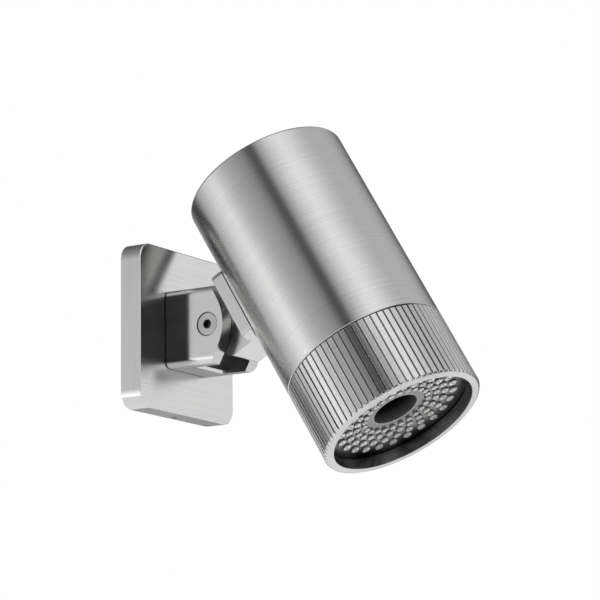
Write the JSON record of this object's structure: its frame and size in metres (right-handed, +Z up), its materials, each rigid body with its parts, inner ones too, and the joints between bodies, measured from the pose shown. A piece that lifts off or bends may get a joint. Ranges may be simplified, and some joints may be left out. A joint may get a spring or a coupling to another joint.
{
  "type": "shower head",
  "caption": "Wall shower head: square plate, forked arm and a tilting brushed-steel cylinder with a grooved turning front and a recessed nozzle face.",
  "frame": {"origin": "centre of the wall plate's back, on the wall", "axes": "+Z up, +Y into the wall, so the front faces -Y; +X along the pivot"},
  "size_m": [0.081, 0.1808, 0.1667],
  "materials": {
    "brushed_steel": "stainless steel, fine straight brushed grain",
    "bracket_steel": "plain stainless steel",
    "brass": "machined brass",
    "black_rubber": "smooth black rubber",
    "white_plastic": "low-friction plastic",
    "grey_plastic": "moulded plastic",
    "dark_face": "dark satin metal",
    "nozzle_silicone": "grey silicone",
    "filter_mesh": "fine steel mesh"
  },
  "bodies": {
    "wall_mount": {"wall_plate": "brushed_steel", "wall_seal": "black_rubber", "wall_bracket": "bracket_steel", "plate_grub_screw": "bracket_steel", "inlet_nipple": "brass", "nipple_seal": "black_rubber", "filter_screen": "filter_mesh", "arm_screws": "bracket_steel", "arm_gasket": "black_rubber", "fork_arm": "brushed_steel", "pivot_bolt": "brushed_steel", "pivot_seal_left": "black_rubber", "pivot_seal_right": "black_rubber"},
    "head": {"swivel_block": "brushed_steel", "friction_washer_left": "white_plastic", "friction_washer_right": "white_plastic", "saddle_gasket": "black_rubber", "saddle_screws": "bracket_steel", "head_shell": "brushed_steel", "feed_block": "brass", "feed_seal": "black_rubber", "flow_limiter": "white_plastic", "feed_tube": "brass", "core_housing": "grey_plastic", "core_seal": "black_rubber", "port_seal": "black_rubber", "glide_band": "white_plastic", "stop_pin": "bracket_steel", "centre_bolt": "bracket_steel", "bolt_seal": "black_rubber", "thrust_washer": "white_plastic"},
    "spray_front": {"grooved_ring": "brushed_steel", "spray_plate": "dark_face", "nozzle_mat": "nozzle_silicone", "jet_insert": "dark_face", "distributor": "grey_plastic"}
  },
  "joints": [
    {"name": "head_tilt", "type": "hinge", "parent": "wall_mount", "child": "head", "pos_m": [0, -0.0355, 0], "axis": [1, 0, 0], "range_deg": [0, 59]},
    {"name": "front_turn", "type": "hinge", "parent": "head", "child": "spray_front", "pos_m": [0, -0.13256, -0.05489], "axis": [0, 0.509, 0.8607], "range_deg": [0, 90]}
  ]
}
